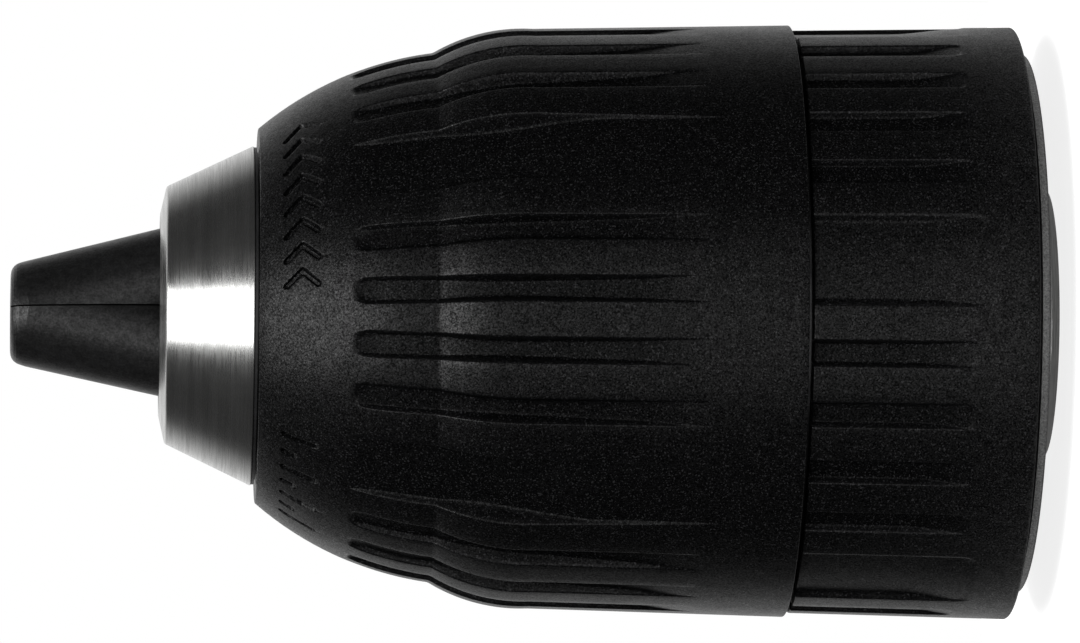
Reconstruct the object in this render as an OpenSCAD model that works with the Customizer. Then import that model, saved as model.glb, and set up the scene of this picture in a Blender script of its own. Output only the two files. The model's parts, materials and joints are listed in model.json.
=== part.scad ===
// Keyless drill chuck with two hand sleeves, three tilted jaws and a split nut.
// The chuck axis is Z. The spindle end is at Z = 0 and the jaws point up. Lengths are in millimetres.

/* [Jaws] */
// Diameter of the rod that each jaw is made from
jaw_d = 8; // [7:0.1:8.4]
// Tilt of each jaw to the chuck axis, in degrees
jaw_tilt = 15.2; // [14:0.1:16]
// Largest shank that the open jaws take
capacity = 13; // [10:0.5:13]
// How far the closed jaws stand out of the nosepiece
jaw_out = 10.7; // [9:0.1:12]
// Distance from the jaw tips back to where the three jaw axes cross
jaw_cross_back = 2.4; // [1.5:0.1:3.2]
// Length of a jaw from tip to tail, along the chuck axis
jaw_len = 38; // [34:0.5:39]
// Width of the seam between neighbouring jaws when closed
jaw_seam = 0.12; // [0.05:0.01:0.3]
// Rounding of the outer corner at each jaw tip
jaw_tip_round = 0.9; // [0.3:0.1:1.5]
// Pitch of the thread on the jaws and in the nut, also the jaw travel per turn
thread_pitch = 2; // [1.5:0.1:3]
// Depth of the thread
thread_depth = 0.8; // [0.4:0.05:1]
// Direction of the first jaw around the axis, in degrees
jaw_phase = -21; // [-60:1:60]
// Clearance between the tails of the open jaws and the inside of the rear sleeve
tail_gap = 0.25; // [0.1:0.05:0.6]

/* [Nosepiece] */
// Length of the nosepiece
nose_len = 6.7; // [5.5:0.1:8]
// Wall of the nosepiece at its rear edge
nose_wall = 3; // [2:0.1:3.5]
// Wall of the nosepiece at the front end of the cone
nose_front_wall = 1.35; // [1:0.05:1.8]
// Length of the shallow chamfer between the cone and the front face
nose_bevel_len = 0.4; // [0.2:0.05:1]
// Radius of the cone's rear edge
nose_edge_r = 0.2; // [0.1:0.05:0.5]
// Radius of the cone's front edge
nose_front_edge_r = 0.35; // [0.1:0.05:0.5]
// Depth of the body's face behind the front of the nosepiece
face_recess = 0.24; // [0.1:0.02:0.5]

/* [Front sleeve] */
// Length of the front sleeve
front_sleeve_len = 38.2; // [36:0.1:42]
// Gap between the front sleeve and the nosepiece
nose_gap = 0.3; // [0.2:0.05:0.6]
// Wall around the bearing, at the front of the grip
grip_wall = 2.88; // [2.6:0.02:3.4]
// How much the grip grows in radius from its front to the seam
grip_flare = 0.46; // [0.1:0.02:0.8]
// Length of the smooth bell
bell_len = 12.5; // [11:0.1:14]
// Radius of the bell's curve, seen from the side
bell_curve_r = 24.2; // [18:0.2:40]
// Radius of the front corner
bell_edge_r = 0.15; // [0.1:0.05:0.7]
// How far the bell rises in radius from the front corner to its foot
bell_rise = 5.56; // [4.6:0.02:6]
// Length of the swell between the bell and the grip
swell_len = 7.2; // [6:0.1:9]
// How far the swell rises in radius
swell_rise = 1.83; // [1:0.01:2.2]
// Radius of the swell's curve, seen from the side
swell_curve_r = 12.8; // [8:0.2:20]

/* [Rear sleeve] */
// Length of the rear sleeve
rear_sleeve_len = 15.9; // [13:0.1:18]
// Gap between the two sleeves
seam_gap = 0.3; // [0.2:0.05:0.6]
// How far the rear sleeve stands back from the grip at the seam, on the radius
seam_step = 0.29; // [0:0.01:0.4]
// Wall of the rear sleeve at the seam
rear_wall = 1.67; // [1.5:0.01:2.2]
// How much the rear sleeve grows in radius towards its rear edge
rear_flare = 0.33; // [0:0.01:0.6]
// Bevel of the rear edge
rear_edge = 0.2; // [0.1:0.05:0.8]
// Bevel of the sleeve edges at the seam
seam_edge = 0.1; // [0.05:0.05:0.4]

/* [Grip pattern] */
// Number of times that the pattern repeats around each sleeve
grip_repeats = 5; // [3:1:6]
// Width of a narrow groove, in degrees
groove_width = 4.2; // [2:0.1:6]
// Angle between neighbouring narrow grooves, in degrees
groove_step = 12; // [8:1:14]
// Depth of the narrow grooves on the front sleeve, where the swell ends
groove_depth = 0.82; // [0.4:0.02:1.4]
// Depth of the narrow grooves on the bell
groove_bell_depth = 0.32; // [0.2:0.02:0.6]
// Depth of the narrow grooves at their rear ends
groove_tail_depth = 0.14; // [0.1:0.02:0.3]
// Length of the narrow grooves behind the end of the swell
groove_run = 12.4; // [8:0.2:16]
// Width of a scoop on the front sleeve, in degrees
scoop_width = 15.6; // [8:0.2:18]
// Depth of the scoops on the front sleeve, where the swell ends
scoop_depth = 1; // [0.6:0.02:1.4]
// Depth of the flat tails behind the scoops
scoop_tail_depth = 0.2; // [0.1:0.02:0.4]
// Length of the scoops behind the end of the swell, where their tails run out
scoop_run = 15.6; // [12:0.2:16.6]
// Depth of the narrow grooves on the rear sleeve, at the seam
rear_groove_depth = 0.5; // [0.3:0.05:1.1]
// Depth of the narrow grooves on the rear sleeve, at their rear ends
rear_groove_end_depth = 0.1; // [0.06:0.02:0.3]
// Length of the narrow grooves on the rear sleeve
rear_groove_len = 11.4; // [6:0.2:12]
// Width of a pad on the rear sleeve, in degrees
pad_width = 17.4; // [8:0.2:20]
// Depth of the pads on the rear sleeve
pad_depth = 0.42; // [0.2:0.02:0.9]
// Depth of the pads at their rear ends
pad_end_depth = 0.1; // [0.06:0.02:0.2]
// Length of the pads on the rear sleeve
pad_len = 12.2; // [6:0.2:13]

/* [Spindle end] */
// Diameter of the threaded spindle hole, at the thread's root
spindle_d = 12.7; // [9:0.1:14]
// Depth of the spindle hole
spindle_len = 16; // [12:0.5:18]
// Diameter of the hub's face
hub_d = 20.5; // [18:0.5:24]
// How far the hub stands behind the rear cover
hub_h = 1.75; // [0.8:0.05:3]
// Bevel of the hub's edge
hub_edge = 0.6; // [0.2:0.1:1]
// How far the rear cover reaches past the flange, on the radius
cover_lap = 0.1; // [0:0.01:0.2]
// Thickness of the rear cover
cover_t = 1.25; // [1:0.05:2]
// Radius of the rear cover's edge
cover_edge_r = 0.3; // [0.2:0.1:0.9]
// How far the rear cover stands behind the rear sleeve
cover_show = 0.95; // [0.3:0.05:1.1]

/* [Body] */
// Length of the flange in front of the seam, which the front sleeve turns on
land_len = 6; // [4:0.2:8]
// Depth of the waist between the flange and the bearing
waist_depth = 1.5; // [0.5:0.1:2.5]
// Height of the shoulder that backs the bearing
shoulder_h = 4.5; // [3:0.1:6]
// Wall of the journal that the front sleeve turns on, outside the jaw holes
journal_wall = 0.68; // [0.5:0.02:1.2]
// Length of the journal's bearing in the sleeve
journal_len = 4.6; // [3:0.1:5.5]
// Clearance of the hole that takes the tool's shank, on the radius
shank_gap = 0.1; // [0.05:0.05:0.3]
// Thickness of the web between the spindle hole and the shank hole
web_t = 8; // [5:0.5:12]
// Diameter of the locking-screw hole through the web
screw_hole_d = 6.6; // [5:0.1:8]

/* [Nut and bearing] */
// Length of the split nut
nut_len = 6.5; // [5:0.1:7]
// Distance from the front sleeve's face back to the nut's front
nut_setback = 12.9; // [12:0.1:14]
// Wall of the split nut at its rear, outside its bore
nut_wall = 2.3; // [1.8:0.1:2.6]
// Wall of the band around the nut
band_t = 1; // [0.6:0.05:1.2]
// Width of each drive rib in the sleeve
rib_w = 3; // [2:0.1:4]
// Height of the drive ribs and their notches
rib_h = 2; // [1:0.1:3]
// Diameter of the bearing balls
ball_d = 2; // [1.5:0.1:2.1]
// Number of bearing balls
ball_count = 24; // [12:1:30]
// Thickness of each bearing race
race_t = 0.8; // [0.6:0.05:1.2]
// Width of each bearing race, from inside to outside
race_w = 2.6; // [2.5:0.05:2.8]
// Thickness of the ball cage
cage_t = 1; // [0.6:0.05:1.2]

/* [Fits] */
// Clearance of each running fit, on the radius
running_fit = 0.05; // [0.02:0.01:0.08]
// Clearance around a part that moves past another without guiding it
free_gap = 0.35; // [0.25:0.05:0.45]
// Clearance between the nut's thread crests and the jaws
crest_gap = 0.1; // [0.05:0.01:0.2]
// End play on each side of the balls and of the front washer
end_play = 0.02; // [0.01:0.01:0.05]

/* [Hidden] */
$fn = 96;

blackened = "#37393b";
steel = "#c6c6c3";
bright = "#dcdcda";
plastic = "#1d1e20";
brass = "#b49a5a";

// Walls and steps that no size above sets
mouth_lip = 0.6;
lip_len = 1.2;
seat_wall = 0.45;
neck_wall = 0.95;
nose_wall_behind = 0.95;
nose_step_gap = 0.4;
nose_lip_step = 0.5;
nut_groove_bite = 0.5;
spindle_lead = 1.6;
spindle_lead_len = 0.6;
washer_setback = 0.06;
cover_recess_gap = 0.2;
mouth_break = 0.1;
journal_taper_len = 2;
// Lengths over which the rear grooves, the pads and the scoops' tails rise to their ends
groove_ease = 4;
pad_ease = 5;
tail_ease = 3;
// Direction of the groove pattern around the axis, on the front and on the rear sleeve
front_phase = -90;
rear_phase = -78;
// Slope of the bell at its front corner, and of the chamfer behind the nosepiece's face
bell_front_angle = 40;
chamfer_angle = 75;
// Width of the thread's crest, root and leading flank, as shares of the pitch
crest_share = 0.3;
root_share = 0.15;
flank_share = 0.2;

// Stations along the axis, from the spindle end forward
cover_z = hub_h;
flange_z = cover_z + cover_t;
rear_sleeve_z = hub_h + cover_show;
seam_z = rear_sleeve_z + rear_sleeve_len;
front_sleeve_z = seam_z + seam_gap;
front_face_z = front_sleeve_z + front_sleeve_len;
nose_z = front_face_z + nose_gap;
nose_front_z = nose_z + nose_len;
body_face_z = nose_front_z - face_recess;
tip_z = nose_front_z + jaw_out;
cross_z = tip_z - jaw_cross_back;
tail_z = tip_z - jaw_len;
land_z = front_sleeve_z + land_len;
bell_foot_z = front_face_z - bell_len;
bell_end_z = front_face_z - bell_edge_r * (1 - sin(bell_front_angle));
grip_z = bell_foot_z - swell_len;
nut_front_z = front_face_z - nut_setback;
nut_z = nut_front_z - nut_len;
front_race_z = nut_z - race_t;
ball_z = front_race_z - end_play - ball_d / 2;
shoulder_z = ball_z - ball_d / 2 - end_play - race_t;
journal_z = front_face_z - journal_len;
bit_floor_z = spindle_len + web_t;

// How far the outside of a jaw reaches from the chuck axis at height z
function reach(z) = (cross_z - z) * tan(jaw_tilt) + jaw_d / 2 / cos(jaw_tilt);
// The same for the jaw's hole in the body
function hole_reach(z) = reach(z) + running_fit / cos(jaw_tilt);

// Radii, from the jaws outward
hub_r = hub_d / 2;
bit_r = capacity / 2 + shank_gap;
mouth_r = bit_r + mouth_lip;
journal_r = hole_reach(journal_z) + journal_wall;
seat_r = hole_reach(shoulder_z) + seat_wall;
race_in_r = seat_r + running_fit;
race_out_r = race_in_r + race_w;
ball_ring_r = (race_in_r + race_out_r) / 2;
nut_r = reach(nut_z) + crest_gap + nut_wall;
band_r = nut_r + band_t;
neck_r = reach(nut_front_z) + crest_gap + neck_wall;
nut_groove_r = reach(nut_front_z) - nut_groove_bite;
nose_step_z = nose_z + nose_len / 3;
nose_lip_z = nose_front_z - lip_len;
nose_wide_r = hole_reach(nose_z) + nose_wall_behind;
nose_narrow_r = max(hole_reach(nose_step_z) + nose_step_gap, mouth_r + nose_lip_step);
nose_rear_r = nose_wide_r + nose_wall;
nose_front_r = nose_narrow_r + nose_front_wall;
bearing_r = race_out_r + free_gap;
grip_r = bearing_r + grip_wall;
seam_r = grip_r + grip_flare;
bell_foot_r = grip_r - swell_rise;
bell_front_r = bell_foot_r - bell_rise;
rear_front_r = seam_r - seam_step;
rear_rear_r = rear_front_r + rear_flare;
flange_r = rear_front_r - rear_wall;
cover_r = flange_r + cover_lap;
waist_r = race_out_r - waist_depth;
jaw_travel = capacity / 2 / sin(jaw_tilt);
tail_length = (cross_z - tail_z) / cos(jaw_tilt);
edge = 0.4;
// Length that is larger than the whole chuck's radius
far = 60;

// Points of an arc around (x, y), from angle a to angle b
function arc(x, y, r, a, b, n = 8) =
    [for (i = [0:n]) let (t = a + (b - a) * i / n) [x + r * cos(t), y + r * sin(t)]];

// Points of the arc of radius r from p to q that bulges to the right of the way from p to q
function bulge(p, q, r, n = 10) =
    let (d = q - p, half = norm(d) / 2, back = sqrt(r * r - half * half),
         c = (p + q) / 2 - back * [d[1], -d[0]] / norm(d),
         a = atan2(p[1] - c[1], p[0] - c[0]), b = atan2(q[1] - c[1], q[0] - c[0]))
    arc(c[0], c[1], r, a, b, n);

// A ring between two radii and two heights
module ring(r_in, r_out, z0, z1) {
    rotate_extrude() translate([r_in, z0]) square([r_out - r_in, z1 - z0]);
}

// Places its children on the axis of jaw k: their +Z runs from the crossing point to the tail
module on_jaw_axis(k) {
    rotate([0, 0, jaw_phase + 120 * k]) translate([0, 0, cross_z]) rotate([0, 180 - jaw_tilt, 0])
        children();
}

// A cut of the given width, in degrees, centred on an angle, whose side outline is the polygon
module sector_cut(angle, width, outline) {
    rotate([0, 0, angle - width / 2]) rotate_extrude(angle = width) polygon(outline);
}

module body() {
    outline = concat(
        [[0, 0], [hub_r - hub_edge, 0], [hub_r, hub_edge], [hub_r, flange_z],
         [flange_r - edge, flange_z], [flange_r, flange_z + edge],
         [flange_r, land_z - edge], [flange_r - edge, land_z],
         [waist_r, land_z], [waist_r, shoulder_z - shoulder_h],
         [race_out_r, shoulder_z - shoulder_h], [race_out_r, shoulder_z],
         [seat_r, shoulder_z], [seat_r, nut_z - edge], [nut_groove_r, nut_z - edge],
         [nut_groove_r, nut_front_z + edge], [neck_r, nut_front_z + edge],
         [neck_r, journal_z - journal_taper_len], [journal_r, journal_z],
         [journal_r, nose_z], [nose_wide_r, nose_z], [nose_wide_r, nose_step_z],
         [nose_narrow_r, nose_step_z], [nose_narrow_r, nose_lip_z],
         [mouth_r, nose_lip_z], [mouth_r, body_face_z], [0, body_face_z]]);
    color(blackened) difference() {
        rotate_extrude() polygon(outline);
        for (k = [0:2]) on_jaw_axis(k)
            translate([0, 0, -far / 4])
                cylinder(d = jaw_d + 2 * running_fit, h = far / 4 + tail_length + jaw_travel + 1);
        translate([0, 0, bit_floor_z]) cylinder(r = bit_r, h = far);
        translate([0, 0, spindle_len - 1]) cylinder(d = screw_hole_d, h = web_t + 2);
        translate([0, 0, -1]) cylinder(d = spindle_d, h = spindle_len + 1);
        rotate_extrude()
            polygon([[0, -1], [spindle_d / 2 + spindle_lead, -1],
                     [spindle_d / 2, spindle_lead_len], [0, spindle_lead_len]]);
    }
}

// One jaw: a tilted rod whose inner sides are cut to a third of the circle, so that three close up
module jaw(k) {
    tip_r = (jaw_d / 2 - jaw_tip_round + (cross_z - tip_z + jaw_tip_round) * sin(jaw_tilt))
        / cos(jaw_tilt);
    tip = concat([[0, tip_z]],
                 arc(tip_r, tip_z - jaw_tip_round, jaw_tip_round, 90, jaw_tilt, 5),
                 [[far * tan(jaw_tilt + 5), tip_z - far], [0, tip_z - far]]);
    wedge = jaw_seam / 2 / sin(60);
    teeth = floor((nose_lip_z - tail_z) / thread_pitch);
    color(blackened) difference() {
        intersection() {
            on_jaw_axis(k) translate([0, 0, -far / 4])
                cylinder(d = jaw_d, h = far / 4 + tail_length);
            rotate_extrude() polygon(tip);
            rotate([0, 0, jaw_phase + 120 * k]) linear_extrude(tip_z + 1)
                polygon([[wedge, 0], [wedge + far, far * tan(60)], [wedge + far, -far * tan(60)]]);
            // The tail is turned so that the open jaws stay inside the flange
            rotate([0, 0, jaw_phase + 120 * k]) translate([-capacity / 2, 0, 0])
                cylinder(r = flange_r - tail_gap, h = tip_z + 1);
        }
        for (i = [1:teeth]) {
            z = tail_z + i * thread_pitch;
            rotate_extrude()
                polygon([[reach(z) - thread_depth, z],
                         [reach(z) + 1, z - thread_pitch * (crest_share + root_share)],
                         [reach(z) + 1, z + thread_pitch * flank_share],
                         [reach(z) - thread_depth, z + thread_pitch * root_share]]);
        }
    }
}

module nosepiece() {
    bevel_z = nose_front_z - nose_bevel_len;
    slope = atan((nose_rear_r - nose_front_r) / (bevel_z - nose_z));
    color(steel) rotate_extrude() polygon(concat(
        [[nose_wide_r, nose_z]],
        arc(nose_rear_r - nose_edge_r, nose_z + nose_edge_r, nose_edge_r, -90, slope, 5),
        arc(nose_front_r - nose_front_edge_r, bevel_z - nose_front_edge_r, nose_front_edge_r,
            slope, chamfer_angle, 4),
        [[mouth_r + mouth_break, nose_front_z], [mouth_r, nose_front_z - mouth_break],
         [mouth_r, nose_lip_z],
         [nose_narrow_r, nose_lip_z], [nose_narrow_r, nose_step_z],
         [nose_wide_r, nose_step_z]]));
}

module sleeve_washer() {
    color(plastic) ring(journal_r + running_fit, nose_rear_r - washer_setback, front_face_z,
                        nose_z - end_play);
}

// Outside of the swell and of the bell, from the rear forward, in n steps
function swell(n) = bulge([grip_r, grip_z], [bell_foot_r, bell_foot_z], swell_curve_r, n);
function bell(n) = bulge([bell_foot_r, bell_foot_z + 0.01], [bell_front_r, bell_end_z],
                         bell_curve_r, n);

// Outside of the front sleeve: the grip, the swell and the bell, from the rear edge forward
front_outline = concat(
    [[seam_r - seam_edge, front_sleeve_z], [seam_r, front_sleeve_z + seam_edge]],
    swell(10), bell(13),
    arc(bell_front_r - bell_edge_r * cos(bell_front_angle), front_face_z - bell_edge_r,
        bell_edge_r, bell_front_angle + 10, 90, 3));

// A point of the grip's skin at height z, and a point that lies a depth below it
function grip_point(z, depth) =
    [grip_r + grip_flare * (grip_z - z) / (grip_z - front_sleeve_z) - depth, z];

// Floor of a narrow groove, which follows the bell and the swell and runs out on the grip
narrow_floor = concat(
    [grip_point(grip_z - groove_run, groove_tail_depth)],
    [for (i = [0:3]) swell(3)[i] - [groove_depth + (groove_bell_depth - groove_depth) * i / 3, 0]],
    [for (i = [1:2]) bell(4)[i] - [groove_bell_depth, 0]]);

// Floor of a scoop: straight from the middle of the bell to the flat tail on the grip
scoop_floor = let (
        front = bell(4)[2] + [0.03, 0],
        slope = (grip_r - scoop_depth - front[0]) / (front[1] - grip_z),
        flare = grip_flare / (grip_z - front_sleeve_z),
        bend = (scoop_depth - scoop_tail_depth) / (slope - flare))
    [grip_point(grip_z - scoop_run, -0.01), grip_point(grip_z - scoop_run + tail_ease, scoop_tail_depth),
     grip_point(grip_z - bend, scoop_tail_depth), front];

// Floor of a groove or pad on the rear sleeve, which is open to the seam
function rear_floor(depth, end_depth, length, ease) = let (taper = rear_flare / rear_sleeve_len)
    [[rear_front_r + taper * length - end_depth, seam_z - length],
     [rear_front_r + taper * (length - ease) - depth, seam_z - length + ease],
     [rear_front_r - taper - depth, seam_z + 1]];

// Takes away what lies outside a floor, over a width around a direction
module groove(direction, width, floor) {
    outside = seam_r + 2;
    sector_cut(direction, width, concat(floor,
        [[outside, floor[len(floor) - 1][1]], [outside, floor[0][1]]]));
}

module front_sleeve() {
    step = 360 / grip_repeats;
    chamber_r = band_r + running_fit;
    rib_z = nut_front_z - rib_h;
    color(plastic) {
        difference() {
            rotate_extrude() polygon(concat(
                [[flange_r + running_fit, front_sleeve_z]], front_outline,
                [[journal_r + running_fit, front_face_z], [journal_r + running_fit, journal_z + edge],
                 [neck_r + free_gap, journal_z + edge], [neck_r + free_gap, nut_front_z + free_gap],
                 [chamber_r, nut_front_z + free_gap], [chamber_r, nut_z + edge],
                 [bearing_r, nut_z + edge], [bearing_r, land_z + edge],
                 [flange_r + running_fit, land_z + edge]]));
            for (k = [0:grip_repeats - 1]) {
                for (i = [-1.5:1:1.5])
                    groove(k * step + front_phase + i * groove_step, groove_width, narrow_floor);
                groove((k + 0.5) * step + front_phase, scoop_width, scoop_floor);
            }
        }
        for (k = [0:3]) rotate([0, 0, 90 * k])
            intersection() {
                ring(nut_r + running_fit, chamber_r + 0.2, rib_z + running_fit,
                     nut_front_z + free_gap + 0.2);
                translate([0, -rib_w / 2, 0]) cube([far, rib_w, tip_z]);
            }
    }
}

module rear_sleeve() {
    step = 360 / grip_repeats;
    recess_r = cover_r + cover_recess_gap;
    color(plastic) difference() {
        rotate_extrude() polygon(
            [[recess_r, rear_sleeve_z], [rear_rear_r - rear_edge, rear_sleeve_z],
             [rear_rear_r, rear_sleeve_z + rear_edge], [rear_front_r, seam_z - seam_edge],
             [rear_front_r - seam_edge, seam_z], [flange_r, seam_z],
             [flange_r, flange_z + edge], [recess_r, flange_z + edge]]);
        for (k = [0:grip_repeats - 1]) {
            for (i = [-1.5:1:1.5])
                groove((k + 0.5) * step + rear_phase + i * groove_step, groove_width,
                    rear_floor(rear_groove_depth, rear_groove_end_depth, rear_groove_len, groove_ease));
            groove(k * step + rear_phase, pad_width,
                   rear_floor(pad_depth, pad_end_depth, pad_len, pad_ease));
        }
    }
}

module rear_cover() {
    color("#7d7f80") rotate_extrude() polygon(concat(
        [[hub_r, cover_z]],
        arc(cover_r - cover_edge_r, cover_z + cover_edge_r, cover_edge_r, -90, 0, 6),
        [[cover_r, flange_z], [hub_r, flange_z]]));
}

module bearing_rear_race() {
    color(bright) ring(race_in_r, race_out_r, shoulder_z, shoulder_z + race_t);
}

module bearing_front_race() {
    color(bright) ring(race_in_r, race_out_r, front_race_z, nut_z);
}

module at_balls() {
    for (i = [0:ball_count - 1])
        rotate([0, 0, i * 360 / ball_count]) translate([ball_ring_r, 0, ball_z]) children();
}

module bearing_cage() {
    color(brass) difference() {
        ring(race_in_r, race_out_r, ball_z - cage_t / 2, ball_z + cage_t / 2);
        at_balls() cylinder(d = ball_d + 2 * running_fit, h = 2 * cage_t, center = true);
    }
}

module bearing_balls() {
    color(bright) at_balls() sphere(d = ball_d);
}

// One half of the nut, which is split so that it can be laid into its groove
module nut_half(side) {
    lead = 0.5;
    turns = floor((nut_len - lead) / thread_pitch);
    // Distance of the thread's rear crest, root edges and front crest from the turn's rear end
    rear_root = thread_pitch * 0.35;
    front_root = thread_pitch * 0.45;
    front_crest = thread_pitch * 0.7;
    bore = [for (i = [turns - 1:-1:0]) let (z = nut_z + lead + i * thread_pitch)
        each [[reach(z + front_crest) + crest_gap, z + front_crest],
              [reach(z + front_root) + crest_gap + thread_depth, z + front_root],
              [reach(z + rear_root) + crest_gap + thread_depth, z + rear_root],
              [reach(z) + crest_gap, z]]];
    color(steel) intersection() {
        rotate_extrude() polygon(concat(
            [[reach(nut_z) + crest_gap, nut_z], [nut_r, nut_z], [nut_r, nut_front_z],
             [reach(nut_front_z) + crest_gap, nut_front_z]], bore));
        rotate([0, 0, 180 * side]) translate([-far, 0.02, 0]) cube([2 * far, far, 2 * far]);
    }
}

module nut_band() {
    color(steel) difference() {
        ring(nut_r, band_r, nut_z, nut_front_z);
        for (k = [0:3]) rotate([0, 0, 90 * k])
            translate([0, -rib_w / 2 - running_fit, nut_front_z - rib_h])
                cube([far, rib_w + 2 * running_fit, rib_h + 1]);
    }
}

body();
nosepiece();
rear_sleeve();
rear_cover();
bearing_rear_race();
bearing_cage();
bearing_balls();
bearing_front_race();
nut_half(0);  // nut_half_1
nut_half(1);  // nut_half_2
nut_band();
front_sleeve();
sleeve_washer();
jaw(0);  // jaw_1
jaw(1);  // jaw_2
jaw(2);  // jaw_3
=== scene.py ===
"""Looks of a keyless drill chuck: two sleeves of grained plastic, a brushed steel nosepiece, blackened
jaws, a rough rear cover and a ground hub. The chuck stands on its hub and its axis is Z.

Lengths are in millimetres and angles in degrees, unless a comment says otherwise. Angle 0 is +X and
90 is +Y. Meshes are made in metres.
"""
import json
import math

import bmesh
import bpy
import numpy as np
from mathutils import Matrix, Vector


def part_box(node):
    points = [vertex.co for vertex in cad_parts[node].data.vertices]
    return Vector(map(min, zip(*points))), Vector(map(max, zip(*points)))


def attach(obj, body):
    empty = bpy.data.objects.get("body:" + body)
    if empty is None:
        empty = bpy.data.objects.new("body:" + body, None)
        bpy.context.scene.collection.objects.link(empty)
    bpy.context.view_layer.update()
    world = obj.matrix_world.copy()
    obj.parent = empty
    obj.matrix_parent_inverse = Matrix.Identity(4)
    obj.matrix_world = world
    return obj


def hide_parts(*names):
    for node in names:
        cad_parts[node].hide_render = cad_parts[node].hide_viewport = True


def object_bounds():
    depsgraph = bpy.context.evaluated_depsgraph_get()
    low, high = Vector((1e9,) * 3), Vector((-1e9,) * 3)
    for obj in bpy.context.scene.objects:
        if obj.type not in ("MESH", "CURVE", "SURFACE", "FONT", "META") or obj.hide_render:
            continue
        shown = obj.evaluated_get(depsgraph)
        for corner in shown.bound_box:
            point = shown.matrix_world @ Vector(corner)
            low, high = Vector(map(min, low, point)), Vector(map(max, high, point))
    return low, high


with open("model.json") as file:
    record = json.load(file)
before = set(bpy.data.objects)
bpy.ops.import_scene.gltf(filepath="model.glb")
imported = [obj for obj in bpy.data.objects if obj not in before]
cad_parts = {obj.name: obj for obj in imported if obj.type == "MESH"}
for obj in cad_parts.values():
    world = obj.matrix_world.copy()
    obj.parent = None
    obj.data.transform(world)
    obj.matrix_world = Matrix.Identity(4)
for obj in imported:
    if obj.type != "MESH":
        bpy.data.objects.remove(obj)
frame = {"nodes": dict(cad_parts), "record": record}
cad_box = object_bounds()
MM = 0.001


def span(node):
    """Lowest height, highest height and radius of a round CAD node."""
    low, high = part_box(node)
    return low.z / MM, high.z / MM, min(high.x, high.y) / MM


# Stations and radii that the frame gives
FRONT_REAR_Z, FRONT_FACE_Z, SEAM_R = span("front_sleeve")
REAR_REAR_Z, REAR_SEAM_Z, REAR_R = span("rear_sleeve")
NOSE_REAR_Z, NOSE_FRONT_Z, NOSE_REAR_R = span("nosepiece")
COVER_REAR_Z, COVER_FRONT_Z, COVER_R = span("rear_cover")
TIP_Z = span("jaw_1")[1]
SPINDLE = next(m for m in frame["record"]["mounts"] if m["name"] == "spindle")
SPINDLE_R = SPINDLE["dims"]["r_mm"]

# Front sleeve
GRIP_FLARE = 0.46
SWELL_LEN = 7.2
SWELL_RISE = 1.83
SWELL_CURVE_R = 12.8
BELL_LEN = 12.5
BELL_RISE = 5.56
BELL_CURVE_R = 24.2
BELL_EDGE_R = 0.15
BELL_EDGE_ANGLE = 40
SEAM_ROUND = 0.06
# The hollow rounding between the swell and the bell, and how far behind their corner it may start
FOOT_BLEND = 0.13
FOOT_REACH = 2
BELL_FOOT_Z = FRONT_FACE_Z - BELL_LEN
GRIP_Z = BELL_FOOT_Z - SWELL_LEN
GRIP_R = SEAM_R - GRIP_FLARE
BELL_FOOT_R = GRIP_R - SWELL_RISE
BELL_FRONT_R = BELL_FOOT_R - BELL_RISE
BELL_END_Z = FRONT_FACE_Z - BELL_EDGE_R * (1 - math.sin(math.radians(BELL_EDGE_ANGLE)))
# Inside of the front sleeve, from the journal back to the land that it turns on
SLEEVE_BORE_R = 10.3
BORE_FRONT_Z = FRONT_FACE_Z - 0.2
BORE_REAR_Z = FRONT_FACE_Z - 4.2
NUT_FRONT_R = 13.17
NUT_FRONT_Z = FRONT_FACE_Z - 12.55
NUT_R = 16.98
NUT_REAR_Z = FRONT_FACE_Z - 19
BEARING_R = 18.03
LAND_R = 19.45
LAND_Z = FRONT_REAR_Z + 6.4

# Rear sleeve
REAR_FLARE = 0.33
REAR_EDGE = 0.2
REAR_FRONT_R = REAR_R - REAR_FLARE
FLANGE_R = COVER_R - 0.1
COVER_POCKET_R = COVER_R + 0.2
COVER_POCKET_Z = COVER_FRONT_Z + 0.4
# Small break of the edge at the seam, and how far its middle is below the skin and behind the seam
SEAM_BREAK = 0.15
SEAM_BREAK_BELOW = 0.04
SEAM_BREAK_BEHIND = 0.06

# Grip pattern, repeated around both sleeves
REPEATS = 5
STEP = 360 / REPEATS
FRONT_PHASE = -90
REAR_PHASE = -78
NARROW_AT = (-18, -6, 6, 18)
NARROW_WIDTH = 1.84
GROOVE_FRONT_Z = GRIP_Z + 13.5
GROOVE_REAR_Z = GRIP_Z - 12.4
NARROW_TAIL_DEPTH = 0.13
NARROW_TAIL_LEN = 6
NARROW_CROWN_Z = GRIP_Z + 1.5
NARROW_CROWN_DEPTH = 0.82
NARROW_FALL_Z = (NARROW_CROWN_Z + 2, BELL_FOOT_Z + 1)
NARROW_BELL_DEPTH = 0.4
NARROW_FRONT_Z = GROOVE_FRONT_Z - 0.4
NARROW_FADE = 1.8
NARROW_FADED_SHARE = 0.6
NARROW_END_R = 0.55
SCOOP_WIDTH = 15.8
SCOOP_NARROWING = 0.5
SCOOP_NARROWING_LEN = 12
SCOOP_SLOPE = 0.192
SCOOP_TAIL_DEPTH = 0.36
SCOOP_TAIL_LEN = 10.5
SCOOP_BLEND = 0.16
SCOOP_REAR_Z = GRIP_Z - 15.6
SCOOP_FRONT_Z = GROOVE_FRONT_Z + 2
SCOOP_END_R = 0.5
REAR_NARROW_DEPTH = 0.5
REAR_NARROW_END_DEPTH = 0.09
REAR_NARROW_REAR_Z = REAR_SEAM_Z - 11.4
REAR_NARROW_RISE = 4
REAR_NARROW_END_R = 0.3
PAD_WIDTH = 17.4
PAD_DEPTH = 0.42
PAD_END_DEPTH = 0.07
PAD_REAR_Z = REAR_SEAM_Z - 12.2
PAD_RISE = 5
PAD_END_R = 0.4
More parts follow.
